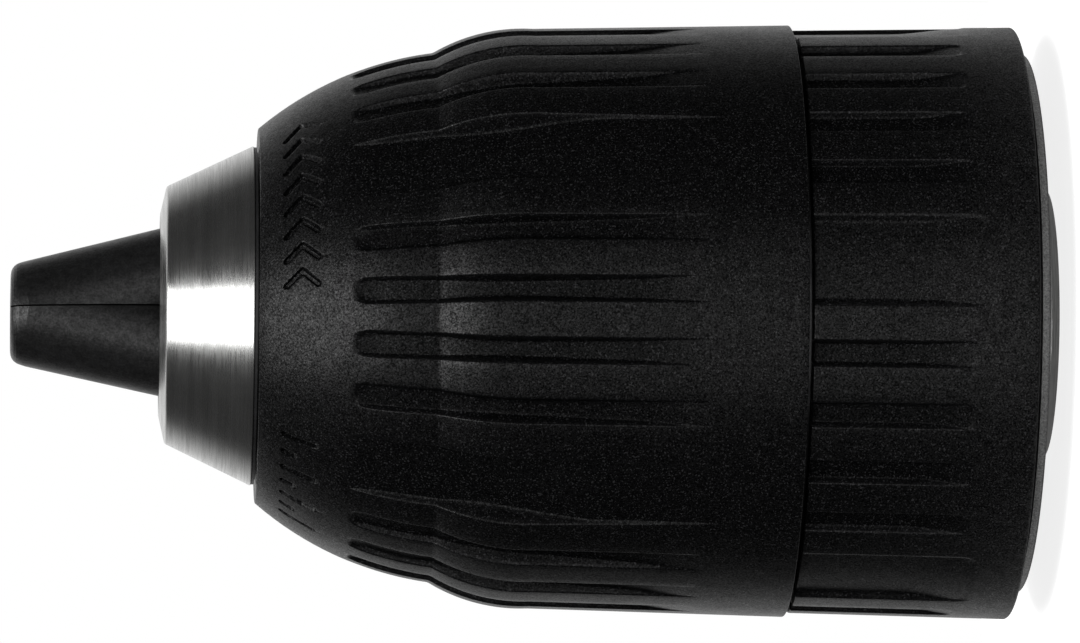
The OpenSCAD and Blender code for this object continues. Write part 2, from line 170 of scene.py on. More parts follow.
# Walls of the grooves: how far they lean for each millimetre of depth, and their roundings
WALL_LEAN = 0.4
PAD_LEAN = 0.7
TOP_ROUND = 0.2
FLOOR_ROUND = 0.28
END_EASE = 0.45
# Rubbed edges: how far inside the groove's edge they lie, their spread, and the full effect's depth
EDGE_INSET = 0.03
EDGE_SPREAD = 0.13
EDGE_DEPTH = 0.3
# Mesh columns: at shares of a wall's upper rounding, on the wall, on the land between two grooves, in a
# narrow floor and in a wide one
WALL_TOP_AT = (-1.3, -0.6, 0, 0.5)
WALL_PARTS = 6
WALL_MIN_WIDTH = 0.05
LAND_PARTS = 4
NARROW_PARTS = 4
WIDE_PARTS = 10
# Mesh rows of the two skins: stretches of start, end and step
FRONT_ROWS = ((FRONT_REAR_Z + SEAM_ROUND, GROOVE_REAR_Z - 0.2, 0.8),
              (GROOVE_REAR_Z - 0.2, GROOVE_REAR_Z + 1, 0.3), (GROOVE_REAR_Z + 1, GRIP_Z, 1.1),
              (GRIP_Z, BELL_FOOT_Z - 0.8, 0.4), (BELL_FOOT_Z - 0.8, BELL_FOOT_Z + 0.6, 0.14),
              (BELL_FOOT_Z + 0.6, GROOVE_FRONT_Z - 1.2, 0.45),
              (GROOVE_FRONT_Z - 1.2, GROOVE_FRONT_Z + 0.5, 0.12), (GROOVE_FRONT_Z + 0.5, BELL_END_Z, 0.7))
REAR_ROWS = ((REAR_REAR_Z + REAR_EDGE, PAD_REAR_Z - 0.3, 0.7), (PAD_REAR_Z - 0.3, PAD_REAR_Z + 2.2, 0.12),
             (PAD_REAR_Z + 2.2, REAR_SEAM_Z - SEAM_BREAK, 0.6))
# Painted shade on the groove floors: how far it lowers their shine, and the depth from which it is full
NARROW_PAINTED_SHADE = 0.46
WIDE_PAINTED_SHADE = 0.12
PAINTED_SHADE_DEPTH = 0.3

# Nosepiece, hub and cover
NOSE_FRONT_R = 9.38
NOSE_MOUTH_R = 7.2
NOSE_BEVEL_LEN = 0.4
NOSE_EDGE_R = 0.08
NOSE_FRONT_EDGE_R = 0.35
NOSE_FRONT_EDGE_ANGLE = 75
NOSE_MOUTH_BREAK = 0.1
NOSE_LIP_LEN = 1.2
NOSE_NARROW_R = 8.03
NOSE_STEP_LEN = 2.23
NOSE_WIDE_R = 9.18
WASHER_NECK = 0.35
WASHER_NECK_LEN = 0.1
HUB_R = 10.25
COVER_EDGE_R = 0.3
COVER_NECK = 1.2
COVER_NECK_LEN = 0.36
# The ground part of the hub ends this far below the cover's front and this far into the spindle's hole
HUB_MARGIN = 0.2
HUB_BORE_MARGIN = 0.02
# Mesh columns of the nosepiece, and of the washer and the cover
NOSE_COLUMNS = 288
RING_COLUMNS = 240
# Edges between faces that meet at more than this angle look sharp
SHARP_ANGLE = 40

# Marks on the bell
MARK_Z = (FRONT_FACE_Z - 4.02, FRONT_FACE_Z - 1.85)
MARK_DEPTH = 0.38
# Half the width of a mark's lines, and the width of their walls
MARK_STROKE = 0.19
MARK_WALL = 0.12
# Faces under the marks: how far round the marks and below the skin they reach, and how they are
# divided, as the length of the edges left and the number of cuts
MARK_MARGIN = 0.6
MARK_MARGIN_ANGLE = 6
MARK_REACH = 0.4
MARK_DIVISIONS = ((0.35, 2), (0.16, 1), (0.08, 1))
CHEVRON_AT = [-80 + 6.9 * i for i in range(8)]
CHEVRON_WIDTH = 1.0
BAR_AT = [-124 - 5.8 * i for i in range(7)]
SHORT_BAR = 0.3

# Studio: the backdrop rises from its start to its end, where 0 is beside the chuck and 1 straight behind
# it. The end lies beyond 1, so that the backdrop never reaches its full level.
BACKDROP_START = 0.35
BACKDROP_END = 1.15
BACKDROP_LEVEL = 1.0
STUDIO_DIM = 0.05
FLOOR_R = 46
FLOOR_LIFT = 0.82
MIRRORED_LIFT = 0.1
FLOOR_DROP = 0.02
LAMP_DISTANCE = 900

# Camera
CAMERA_AT = (-0.02, -585, 68.3)
CAMERA_TARGET = (-0.2, 0, 36.6)
CAMERA_LENS = 270.2
CAMERA_ROLL = 0.57


# ---------------------------------------------------------------- shapes

def smoothstep(x):
    x = np.clip(x, 0, 1)
    return x * x * (3 - 2 * x)


def arc_centre(p, q, radius):
    """Centre (r, z) of the arc of that radius through p and q that bulges away from the axis."""
    p, q = np.array(p), np.array(q)
    d = q - p
    length = np.linalg.norm(d)
    back = math.sqrt(radius ** 2 - (length / 2) ** 2)
    return (p + q) / 2 - back * np.array([d[1], -d[0]]) / length


def arc_r(centre, radius, z):
    return centre[0] + np.sqrt(np.maximum(radius ** 2 - (z - centre[1]) ** 2, 0))


def round_corner(centre_r, centre_z, radius, start, end, steps):
    """Points (r, z) round a corner, from the start angle to the end angle. Angle 0 points outward."""
    angles = np.radians(np.linspace(start, end, steps + 1))
    return [(centre_r + radius * math.cos(a), centre_z + radius * math.sin(a)) for a in angles]


SWELL_CENTRE = arc_centre((GRIP_R, GRIP_Z), (BELL_FOOT_R, BELL_FOOT_Z), SWELL_CURVE_R)
BELL_CENTRE = arc_centre((BELL_FOOT_R, BELL_FOOT_Z), (BELL_FRONT_R, BELL_END_Z),
                         BELL_CURVE_R)


def front_skin(z):
    """Radius of the front sleeve's skin without its grooves: grip, swell and bell."""
    grip = GRIP_R + GRIP_FLARE * (GRIP_Z - z) / (GRIP_Z - FRONT_REAR_Z)
    swell = arc_r(SWELL_CENTRE, SWELL_CURVE_R, z)
    bell = arc_r(BELL_CENTRE, BELL_CURVE_R, z)
    near = np.clip(0.5 + 0.5 * (swell - bell) / FOOT_BLEND, 0, 1)
    joined = bell + (swell - bell) * near + FOOT_BLEND * near * (1 - near) / 2
    return np.where(z < GRIP_Z, grip, np.where(z < BELL_FOOT_Z - FOOT_REACH, swell, joined))


def rear_skin(z):
    """Radius of the rear sleeve's skin without its grooves."""
    return REAR_FRONT_R + REAR_FLARE * (REAR_SEAM_Z - z) / (REAR_SEAM_Z - REAR_REAR_Z)


def inside_slot(across, z, half_width, end_z, end_r, sign):
    """Distance inside the edge of a slot with one rounded end, negative outside. That end is the upper
    one with sign 1 and the lower one with sign -1. Distances to it count less, so that it slopes more
    gently than the sides."""
    qx = np.abs(across) - (half_width - end_r)
    qz = END_EASE * sign * (z - end_z) + end_r
    outside = np.hypot(np.maximum(qx, 0), np.maximum(qz, 0))
    return end_r - outside - np.minimum(np.maximum(qx, qz), 0)


def around(angle, centre):
    """Difference between two angles, from -180 to 180."""
    return (angle - centre + 180) % 360 - 180


def soft_min(a, b, k):
    near = np.clip(0.5 + 0.5 * (b - a) / k, 0, 1)
    return b + (a - b) * near - k * near * (1 - near)


def cut_depth(inside, floor_depth, lean):
    """Depth of a groove at a distance inside its edge: a leaning wall between two roundings."""
    wall = -soft_min(-inside / lean, 0 * inside, TOP_ROUND)
    rounding = np.clip(floor_depth, 1e-6, FLOOR_ROUND)
    return np.clip(soft_min(wall, floor_depth, rounding), 0, floor_depth)


def narrow_floor(z):
    """Depth of a narrow groove on the front sleeve: deepest where the grip turns into the swell."""
    tail = NARROW_TAIL_DEPTH + (NARROW_CROWN_DEPTH - NARROW_TAIL_DEPTH) * (z - GROOVE_REAR_Z) / (
        NARROW_CROWN_Z - GROOVE_REAR_Z)
    fall_start, fall_end = NARROW_FALL_Z
    fall = smoothstep((z - fall_start) / (fall_end - fall_start))
    bell = NARROW_CROWN_DEPTH + (NARROW_BELL_DEPTH - NARROW_CROWN_DEPTH) * fall
    depth = np.where(z < NARROW_CROWN_Z, tail, bell)
    near_end = smoothstep((NARROW_FRONT_Z - z) / NARROW_FADE)
    fade = NARROW_FADED_SHARE + (1 - NARROW_FADED_SHARE) * near_end
    return depth * fade * smoothstep((z - GROOVE_REAR_Z) / NARROW_TAIL_LEN)


def scoop_floor(z):
    """Depth of a scoop: a straight floor that starts on the bell and runs out on the grip."""
    floor_r = front_skin(np.array(GROOVE_FRONT_Z)) + SCOOP_SLOPE * (GROOVE_FRONT_Z - z)
    straight = front_skin(z) - floor_r
    straight = (straight + np.sqrt(straight ** 2 + SCOOP_BLEND ** 2)) / 2 - SCOOP_BLEND / 8
    tail = SCOOP_TAIL_DEPTH * np.clip((z - SCOOP_REAR_Z) / SCOOP_TAIL_LEN, 0, 1) * (z < GRIP_Z)
    return np.clip(-soft_min(-straight, -tail, SCOOP_BLEND) - SCOOP_BLEND / 4, 0, None)


def rear_narrow_floor(z):
    rise = smoothstep((z - REAR_NARROW_REAR_Z) / REAR_NARROW_RISE)
    return REAR_NARROW_END_DEPTH + (REAR_NARROW_DEPTH - REAR_NARROW_END_DEPTH) * rise


def pad_floor(z):
    return PAD_END_DEPTH + (PAD_DEPTH - PAD_END_DEPTH) * smoothstep((z - PAD_REAR_Z) / PAD_RISE)


class Slot:
    """One groove: its direction, half width and depth by height, its rounded end, the lean of its walls,
    the painted shade on its floor and the number of mesh columns there."""

    def __init__(self, centre, half_width, floor, end_z, end_r, sign, lean, dulling, parts):
        self.centre, self.half_width, self.floor = centre % 360, half_width, floor
        self.end_z, self.end_r, self.sign, self.lean = end_z, end_r, sign, lean
        self.dulling, self.parts = dulling, parts

    def cut(self, angle, z, skin):
        """Depth of the cut, how close each point is to the slot's edge, and how much painted shade it gets.
        """
        across = np.radians(around(angle, self.centre)) * skin
        half = self.half_width(z, skin)
        inside = inside_slot(across, z, half, self.end_z, self.end_r, self.sign)
        floor_depth = self.floor(z)
        edge = np.exp(-((inside - EDGE_INSET) / EDGE_SPREAD) ** 2) * smoothstep(floor_depth / EDGE_DEPTH)
        depth = cut_depth(inside, floor_depth, self.lean)
        # The last value is painted shade that lowers the shine of the groove floor
        return depth, edge, self.dulling * smoothstep(depth / PAINTED_SHADE_DEPTH)

    def wall_columns(self, z):
        """Distances inside the edge that hold the wall and its roundings at height z."""
        top = self.lean * TOP_ROUND
        depth = float(self.floor(np.array(z)))
        foot = max(self.lean * (depth + min(depth, FLOOR_ROUND)), top + WALL_MIN_WIDTH)
        return [top * t for t in WALL_TOP_AT] + share_out(top, foot, WALL_PARTS) + [foot]


def narrow_half(z, skin):
    return NARROW_WIDTH / 2 + 0 * z


def scoop_half(z, skin):
    return np.radians(SCOOP_WIDTH / 2) * skin - SCOOP_NARROWING * np.clip(
        (GRIP_Z - z) / SCOOP_NARROWING_LEN, 0, 1)


def pad_half(z, skin):
    return np.radians(PAD_WIDTH / 2) * skin


def pattern_slots(phase, narrow, wide):
    """Both kinds of slot around a sleeve. Narrow and wide are the rest of each slot's facts and the
    share of a step by which it is turned."""
    slots = []
    for k in range(REPEATS):
        slots += [Slot(phase + (k + narrow[0]) * STEP + a, *narrow[1:], NARROW_PARTS) for a in NARROW_AT]
        slots.append(Slot(phase + (k + wide[0]) * STEP, *wide[1:], WIDE_PARTS))
    return slots


FRONT_SLOTS = pattern_slots(FRONT_PHASE,
                            (0, narrow_half, narrow_floor, NARROW_FRONT_Z, NARROW_END_R, 1, WALL_LEAN,
                             NARROW_PAINTED_SHADE),
                            (0.5, scoop_half, scoop_floor, SCOOP_FRONT_Z, SCOOP_END_R, 1, WALL_LEAN,
                             WIDE_PAINTED_SHADE))
REAR_SLOTS = pattern_slots(REAR_PHASE,
                           (0.5, narrow_half, rear_narrow_floor, REAR_NARROW_REAR_Z, REAR_NARROW_END_R, -1,
                            WALL_LEAN, NARROW_PAINTED_SHADE),
                           (0, pad_half, pad_floor, PAD_REAR_Z, PAD_END_R, -1, PAD_LEAN, WIDE_PAINTED_SHADE))


def cut_pattern(slots, skin_of):
    """Function of angle and height that gives the pattern's depth, its closeness to an edge and its
    painted floor shade."""
    def pattern(angle, z):
        skin = skin_of(z)
        found = np.zeros((3, len(z)))
        for slot in slots:
            found = np.maximum(found, slot.cut(angle, z, skin))
        return found
    return pattern


def share_out(a, b, parts):
    """Values from a up to b, without b."""
    return [a + (b - a) * i / parts for i in range(parts)]


def column_angles(slots, z, skin):
    """Angles around one row of a sleeve. Columns follow the slots' walls, and the rest is shared out
    between them, so that every row has the same number."""
    spans = []
    for slot in sorted(slots, key=lambda s: s.centre):
        half = float(slot.half_width(z, skin))
        left = [slot.centre + math.degrees((w - half) / skin) for w in slot.wall_columns(z)]
        right = [2 * slot.centre - a for a in reversed(left)]
        spans.append((left, right, slot.parts))
    angles = []
    for n, (left, right, parts) in enumerate(spans):
        following = spans[n + 1][0][0] if n + 1 < len(spans) else spans[0][0][0] + 360
        angles += left[:-1] + share_out(left[-1], right[0], parts)
        angles += right[:-1] + share_out(right[-1], following, LAND_PARTS)
    return angles


# ---------------------------------------------------------------- marks

def stroke_distance(u, v, a, b):
    """Distance from the points (u, v) to the line from a to b."""
    along = np.array(b) - np.array(a)
    t = np.clip(((u - a[0]) * along[0] + (v - a[1]) * along[1]) / (along @ along), 0, 1)
    return np.hypot(u - a[0] - t * along[0], v - a[1] - t * along[1])


def mark_strokes():
    """Plain marks as (angle, line's start, line's end): arrow heads that show the way to turn the sleeve,
    and a scale of long and short bars. Lines are in millimetres around the sleeve and along it."""
    low, high = MARK_Z
    middle = (low + high) / 2
    strokes = []
    for angle in CHEVRON_AT:
        tip = (CHEVRON_WIDTH / 2, middle)
        strokes += [(angle, (-CHEVRON_WIDTH / 2, end), tip) for end in (low, high)]
    for n, angle in enumerate(BAR_AT):
        length = (high - low) * (1 if n % 2 == 0 else SHORT_BAR)
        strokes.append((angle, (0, high - length), (0, high)))
    return strokes


def mark_depth(angle, z):
    """Depth of the marks at the given angles and heights."""
    u_scale = np.radians(1) * front_skin(z)
    distance = np.full_like(z, 1.0)
    for direction, a, b in mark_strokes():
        u = around(angle, direction) * u_scale
        distance = np.minimum(distance, stroke_distance(u, z, a, b))
    return MARK_DEPTH * smoothstep((MARK_STROKE - distance) / MARK_WALL + 0.5)


def engrave_marks(mesh):
    """Divides the bell's faces under the marks finely and sinks the marks into them."""
    bm = bmesh.new()
    bm.from_mesh(mesh)
    spans = [(min(at) - MARK_MARGIN_ANGLE, max(at) + MARK_MARGIN_ANGLE) for at in (CHEVRON_AT, BAR_AT)]

    def marked(face):
        x, y, z = face.calc_center_median() / MM
        angle = math.degrees(math.atan2(y, x))
        outside = math.hypot(x, y) > front_skin(z) - MARK_REACH
        return outside and MARK_Z[0] - MARK_MARGIN < z < MARK_Z[1] + MARK_MARGIN and any(
            a < around(angle, (a + b) / 2) + (a + b) / 2 < b for a, b in spans)

    for size, cuts in MARK_DIVISIONS:
        edges = {e for f in bm.faces if marked(f) for e in f.edges if e.calc_length() > size * MM}
        bmesh.ops.subdivide_edges(bm, edges=list(edges), cuts=cuts, use_grid_fill=True)
    touched = list({v for f in bm.faces if marked(f) for v in f.verts})
    x, y, z = np.array([v.co for v in touched]).T / MM
    angle = np.degrees(np.arctan2(y, x))
    r = front_skin(z) - mark_depth(angle, z)
    for v, px, py, pz in zip(touched, r * np.cos(np.radians(angle)), r * np.sin(np.radians(angle)), z):
        v.co = Vector((px, py, pz)) * MM
    write_mesh(bm, mesh)


def rows(*stretches):
    """Heights from stretches of (start, end, step)."""
    out = []
    for start, end, step in stretches:
        count = max(1, round(abs(end - start) / step))
        out += [start + (end - start) * i / count for i in range(count)]
    out.append(stretches[-1][1])
    return out


def even_angles(count):
    return lambda z: [360 * i / count for i in range(count)]


def ring_mesh(name, outline, angles_at, pattern=None):
    """A closed ring from an outline of (r, z) points and the angles of the columns at each height.
    Outline points with a third, true value lie on the skin and are cut by the pattern."""
    rows_of_angles = [angles_at(p[1]) for p in outline]
    turns = len(rows_of_angles[0])
    count = len(outline)
    r = np.repeat([p[0] for p in outline], turns).astype(float)
    z = np.repeat([p[1] for p in outline], turns).astype(float)
    skin = np.repeat([len(p) > 2 for p in outline], turns)
    angle = np.array(rows_of_angles).ravel()
    depth, edge, dull = np.zeros((3, len(r)))
    if pattern:
        depth, edge, dull = np.where(skin, pattern(angle, z), 0)
    r = r - depth
    a = np.radians(angle)
    points = np.stack([r * np.cos(a), r * np.sin(a), z], 1) * MM
    faces = []
    for i in range(count):
        j = (i + 1) % count
        for k in range(turns):
            m = (k + 1) % turns
            faces.append((i * turns + k, i * turns + m, j * turns + m, j * turns + k))
    mesh = bpy.data.meshes.new(name)
    mesh.from_pydata(points.tolist(), [], faces)
    # Besides the edges, the mesh carries the painted shade of the groove floors
    for label, values in (("edge", edge), ("dull", dull)):
        layer = mesh.attributes.new(label, "FLOAT", "POINT")
        layer.data.foreach_set("value", values.astype(np.float32))
    bm = bmesh.new()
    bm.from_mesh(mesh)
    write_mesh(bm, mesh)
    return mesh


def write_mesh(bm, mesh):
    """Turns all faces outward and shades the mesh smooth, apart from its sharp edges."""
    bmesh.ops.recalc_face_normals(bm, faces=bm.faces)
    bm.to_mesh(mesh)
    bm.free()
    mesh.shade_smooth()
    mesh.set_sharp_from_angle(angle=math.radians(SHARP_ANGLE))


def place(mesh, material, body, slot, *nodes):
    """Puts a mesh in the scene as a piece that stands for CAD nodes and rides on a body."""
    piece = bpy.data.objects.new(mesh.name, mesh)
    bpy.context.scene.collection.objects.link(piece)
    mesh.materials.clear()
    mesh.materials.append(material)
    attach(piece, body)
    if nodes:
        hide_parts(*nodes)


# ---------------------------------------------------------------- materials

class Graph:
    """Short calls for the nodes of a new material or a new world."""

    def __init__(self, name, world=False):
        self.owner = (bpy.data.worlds if world else bpy.data.materials).new(name)
        self.owner.use_nodes = True
        self.tree = self.owner.node_tree
        self.tree.nodes.clear()

    def node(self, kind, inputs=None, **settings):
        made = self.tree.nodes.new("ShaderNode" + kind)
        for key, value in settings.items():
            setattr(made, key, value)
        for key, value in (inputs or {}).items():
            if isinstance(value, bpy.types.NodeSocket):
                self.tree.links.new(value, made.inputs[key])
            else:
                made.inputs[key].default_value = value
        return made

    def math(self, operation, a, b=0.0, c=0.0):
        return self.node("Math", {0: a, 1: b, 2: c}, operation=operation).outputs[0]

    def point(self):
        """Object coordinates, in metres."""
        return self.node("TexCoord").outputs["Object"]

    def noise(self, vector, size, detail=2.0, roughness=0.5):
        """Noise from about 0 to 1, whose features are about the given size in millimetres."""
        made = self.node("TexNoise", {"Vector": vector, "Scale": 1 / (size * MM), "Detail": detail,
                                      "Roughness": roughness})
        return made.outputs["Fac"]

    def remap(self, value, low, high, to_low, to_high):
        made = self.node("MapRange", {"Value": value, "From Min": low, "From Max": high,
                                      "To Min": to_low, "To Max": to_high})
        return made.outputs["Result"]

    def blend(self, share, a, b):
        """Colour a where the share is 0 and b where it is 1."""
        made = self.node("Mix", data_type="RGBA")
        for key, value in ((0, share), (6, a), (7, b)):
            if isinstance(value, bpy.types.NodeSocket):
                self.tree.links.new(value, made.inputs[key])
            else:
                made.inputs[key].default_value = value if key == 0 else (*value, 1)
        return made.outputs[2]

    def bump(self, height, depth, normal=None):
        """Bump of a height from 0 to 1 that stands for a depth in millimetres."""
        inputs = {"Height": height, "Distance": depth * MM, "Strength": 1.0}
        if normal:
            inputs["Normal"] = normal
        return self.node("Bump", inputs).outputs["Normal"]

    def hypotenuse(self, a, b):
        squares = self.math("ADD", self.math("MULTIPLY", a, a), self.math("MULTIPLY", b, b))
        return self.math("SQRT", squares)

    def around_axis(self, share):
        """Coordinates that change little around the chuck's axis, for marks left by turning. The share is
        that of the change along the marks to the change across them."""
        xyz = self.node("SeparateXYZ", {0: self.point()}).outputs
        radius = self.hypotenuse(xyz[0], xyz[1])
        across = self.math("ADD", xyz[2], self.math("MULTIPLY", radius, 0.6))
        return self.node("CombineXYZ", {0: self.math("MULTIPLY", xyz[0], share),
                                        1: self.math("MULTIPLY", xyz[1], share), 2: across}).outputs[0]

    def attribute(self, name):
        return self.node("Attribute", attribute_name=name).outputs["Fac"]

    def finish(self, **inputs):
        """Ends the graph in a Principled shader with these inputs."""
        shader = self.node("BsdfPrincipled", {k.replace("_", " "): v for k, v in inputs.items()})
        self.node("OutputMaterial", {"Surface": shader.outputs[0]})
        return self.owner


def grained_plastic():
    """Black glass-filled plastic with a spark-eroded grain that sparkles, rubbed smoother along the groove
    edges, and with painted shade that lowers the shine on the groove floors."""
    g = Graph("grained_plastic")
    point = g.point()
    edge = g.attribute("edge")
    grain = g.noise(point, 0.14, 2, 0.65)
    pits = g.noise(point, 0.34, 2, 0.6)
    patches = g.noise(point, 0.8, 2, 0.6)
    clouds = g.noise(point, 7, 3, 0.55)
    speck = g.remap(g.noise(point, 0.12, 0, 0.5), 0.64, 0.76, 0, 1)
    height = g.math("ADD", g.math("MULTIPLY", grain, 0.8), g.math("MULTIPLY", pits, 0.5))
    tone = g.blend(g.remap(grain, 0.35, 0.65, 0, 1), (0.0008, 0.0008, 0.0009), (0.0032, 0.0033, 0.0035))
    tone = g.blend(g.math("MULTIPLY", edge, 0.3), tone, (0.01, 0.01, 0.0105))
    tone = g.blend(g.math("MULTIPLY", speck, 0.55), tone, (0.05, 0.05, 0.052))
    rough = g.math("SUBTRACT", g.remap(clouds, 0.3, 0.7, 0.34, 0.41), g.math("MULTIPLY", edge, 0.08))
    rough = g.math("SUBTRACT", rough, g.math("MULTIPLY", speck, 0.12))
    shine = g.math("MULTIPLY", g.remap(grain, 0.38, 0.7, 0.06, 0.35), g.remap(patches, 0.35, 0.65, 0.8, 1.2))
    # Painted shade: the shine is lowered on the groove floors, most in the deep narrow grooves
    level = g.math("MULTIPLY", shine, g.math("SUBTRACT", 1, g.attribute("dull")))
    return g.finish(Base_Color=tone, Roughness=rough, Specular_IOR_Level=level,
                    Normal=g.bump(height, 0.015))


def washer_plastic():
    """Grey plastic of the thin washer under the nosepiece, rubbed matt."""
    g = Graph("washer_plastic")
    point = g.point()
    grain = g.noise(point, 0.16, 2, 0.6)
    clouds = g.noise(point, 2.5, 3, 0.5)
    tone = g.blend(g.remap(clouds, 0.3, 0.7, 0, 1), (0.016, 0.016, 0.0165), (0.034, 0.034, 0.035))
    return g.finish(Base_Color=tone, Roughness=g.remap(grain, 0.3, 0.7, 0.4, 0.52),
                    Normal=g.bump(grain, 0.012))


def brushed_steel(name, tone=(0.60, 0.60, 0.59), rough=0.25, anisotropy=0.65):
    """Steel turned and brushed round the chuck's axis: fine lines along the circumference."""
    g = Graph(name)
    lines = g.noise(g.around_axis(0.012), 0.06, 3, 0.75)
    bands = g.noise(g.around_axis(0.02), 0.4, 2, 0.6)
    clouds = g.noise(g.point(), 3, 3, 0.6)
    dark = tuple(0.6 * c for c in tone)
    share = g.math("ADD", g.remap(lines, 0.36, 0.64, 0, 0.65), g.remap(bands, 0.36, 0.64, 0, 0.35))
    roughness = g.math("ADD", g.remap(lines, 0.36, 0.64, rough + 0.06, rough - 0.04),
                       g.remap(clouds, 0.3, 0.7, -0.03, 0.04))
    tangent = g.node("Tangent", direction_type="RADIAL", axis="Z").outputs[0]
    both = g.math("ADD", g.math("MULTIPLY", lines, 0.7), g.math("MULTIPLY", bands, 0.3))
    return g.finish(Base_Color=g.blend(share, dark, tone), Metallic=1.0, Roughness=roughness,
                    Anisotropic=anisotropy, Anisotropic_Rotation=0.25, Tangent=tangent,
                    Normal=g.bump(both, 0.003))


def blackened_steel(name, tone=0.01, rough=0.36, scratch=0.5):
    """Oil-blackened steel with a satin surface, faint cloudy stains and fine scratches."""
    g = Graph(name)
    point = g.point()
    clouds = g.noise(point, 2.4, 4, 0.6)
    fine = g.noise(point, 0.16, 3, 0.65)
    mottle = g.noise(point, 0.5, 3, 0.6)
    stretched = g.node("Mapping", {"Vector": point, "Scale": (1, 1, 0.08)}).outputs[0]
    streaks = g.remap(g.noise(stretched, 0.12, 2, 0.5), 0.58, 0.72, 0, scratch)
    low, high = (tone * 0.6,) * 3, (tone * 1.5, tone * 1.5, tone * 1.55)
    colour = g.blend(g.remap(clouds, 0.3, 0.7, 0, 1), low, high)
    colour = g.blend(g.remap(mottle, 0.35, 0.65, 0.4, 0), colour, (tone * 0.3,) * 3)
    colour = g.blend(g.math("MULTIPLY", streaks, 0.5), colour, (tone * 3.2,) * 3)
    roughness = g.math("ADD", g.remap(clouds, 0.3, 0.7, rough + 0.06, rough - 0.05),
                       g.math("MULTIPLY", streaks, -0.06))
    level = g.math("MULTIPLY", g.remap(fine, 0.35, 0.65, 0.2, 0.5), g.remap(mottle, 0.35, 0.65, 0.75, 1.2))
    return g.finish(Base_Color=colour, Roughness=roughness, Specular_IOR_Level=level,
                    Normal=g.bump(g.math("ADD", fine, g.math("MULTIPLY", streaks, 0.4)), 0.014))


def blasted_steel():
    """Grey stamped steel with a coarse blasted surface."""
    g = Graph("blasted_steel")
    point = g.point()
    grit = g.noise(point, 0.14, 3, 0.7)
    clouds = g.noise(point, 3, 3, 0.5)
    tone = g.blend(g.remap(grit, 0.3, 0.7, 0, 1), (0.1, 0.1, 0.102), (0.34, 0.34, 0.335))
    return g.finish(Base_Color=tone, Metallic=1.0, Roughness=g.remap(clouds, 0.3, 0.7, 0.42, 0.54),
                    Normal=g.bump(grit, 0.03))


def body_steel():
    """The body: ground bright on the hub's rim and face, blackened everywhere else."""
    g = Graph("body_steel")
    point = g.point()
    xyz = g.node("SeparateXYZ", {0: point}).outputs
    radius = g.hypotenuse(xyz[0], xyz[1])
    hub = g.math("MULTIPLY", g.math("LESS_THAN", xyz[2], (COVER_FRONT_Z - HUB_MARGIN) * MM),
                 g.math("GREATER_THAN", radius, (SPINDLE_R - HUB_BORE_MARGIN) * MM))
    lines = g.noise(g.around_axis(0.02), 0.06, 3, 0.7)
    clouds = g.noise(point, 2.4, 4, 0.6)
    ground = g.blend(g.remap(lines, 0.35, 0.65, 0, 1), (0.4, 0.4, 0.395), (0.74, 0.74, 0.73))
    black = g.blend(g.remap(clouds, 0.3, 0.7, 0, 1), (0.05, 0.05, 0.052), (0.12, 0.12, 0.122))
    rough = g.math("ADD", g.math("MULTIPLY", hub, -0.27), g.remap(clouds, 0.3, 0.7, 0.44, 0.36))
    return g.finish(Base_Color=g.blend(hub, black, ground), Metallic=1.0, Roughness=rough,
                    Normal=g.bump(g.math("MULTIPLY", lines, g.math("ADD", hub, 0.25)), 0.006))


def turned_metal(name, tone, rough=0.25):
    """Machined metal with turning marks, for the nut and the bearing."""
    return brushed_steel(name, tone, rough, anisotropy=0.3)


# ---------------------------------------------------------------- pieces

def front_sleeve(material):
    """The sleeve that the hand turns: straight grip, swell and bell, with grooves and scoops."""
    rear = round_corner(SEAM_R - SEAM_ROUND, FRONT_REAR_Z + SEAM_ROUND, SEAM_ROUND, -90, 0, 4)
    front = round_corner(BELL_FRONT_R - BELL_EDGE_R * math.cos(math.radians(BELL_EDGE_ANGLE)),
                         FRONT_FACE_Z - BELL_EDGE_R, BELL_EDGE_R, BELL_EDGE_ANGLE, 90, 6)
    outline = [(r, z, True) for r, z in rear[:-1]]
    outline += [(float(front_skin(z)), z, True) for z in rows(*FRONT_ROWS)[:-1]]
    outline += [(r, z, True) for r, z in front]
    inner = [(SLEEVE_BORE_R, BORE_FRONT_Z), (SLEEVE_BORE_R, BORE_REAR_Z), (NUT_FRONT_R, BORE_REAR_Z),
             (NUT_FRONT_R, NUT_FRONT_Z), (NUT_R, NUT_FRONT_Z), (NUT_R, NUT_REAR_Z),
             (BEARING_R, NUT_REAR_Z), (BEARING_R, LAND_Z), (LAND_R, LAND_Z), (LAND_R, FRONT_REAR_Z)]
    mesh = ring_mesh("front_sleeve_skin", outline + inner,
                     lambda z: column_angles(FRONT_SLOTS, z, float(front_skin(z))),
                     cut_pattern(FRONT_SLOTS, front_skin))
    engrave_marks(mesh)
    place(mesh, material, "clamping_sleeve", "black_plastic", "front_sleeve")


def rear_sleeve(material):
    """The fixed sleeve behind the seam, with grooves and pads that are open to the seam."""
    rear = round_corner(REAR_R - REAR_EDGE, REAR_REAR_Z + REAR_EDGE, REAR_EDGE, -90, 0, 6)
    outline = [(r, z, True) for r, z in rear[:-1]]
    outline += [(float(rear_skin(z)), z, True) for z in rows(*REAR_ROWS)]
    outline += [(REAR_FRONT_R - SEAM_BREAK_BELOW, REAR_SEAM_Z - SEAM_BREAK_BEHIND, True),
                (REAR_FRONT_R - SEAM_BREAK, REAR_SEAM_Z, True)]
    inner = [(FLANGE_R, REAR_SEAM_Z), (FLANGE_R, COVER_POCKET_Z), (COVER_POCKET_R, COVER_POCKET_Z),
             (COVER_POCKET_R, REAR_REAR_Z)]
    mesh = ring_mesh("rear_sleeve_skin", outline + inner,
                     lambda z: column_angles(REAR_SLOTS, z, float(rear_skin(z))),
                     cut_pattern(REAR_SLOTS, rear_skin))
    place(mesh, material, "chuck_body", "black_plastic", "rear_sleeve")


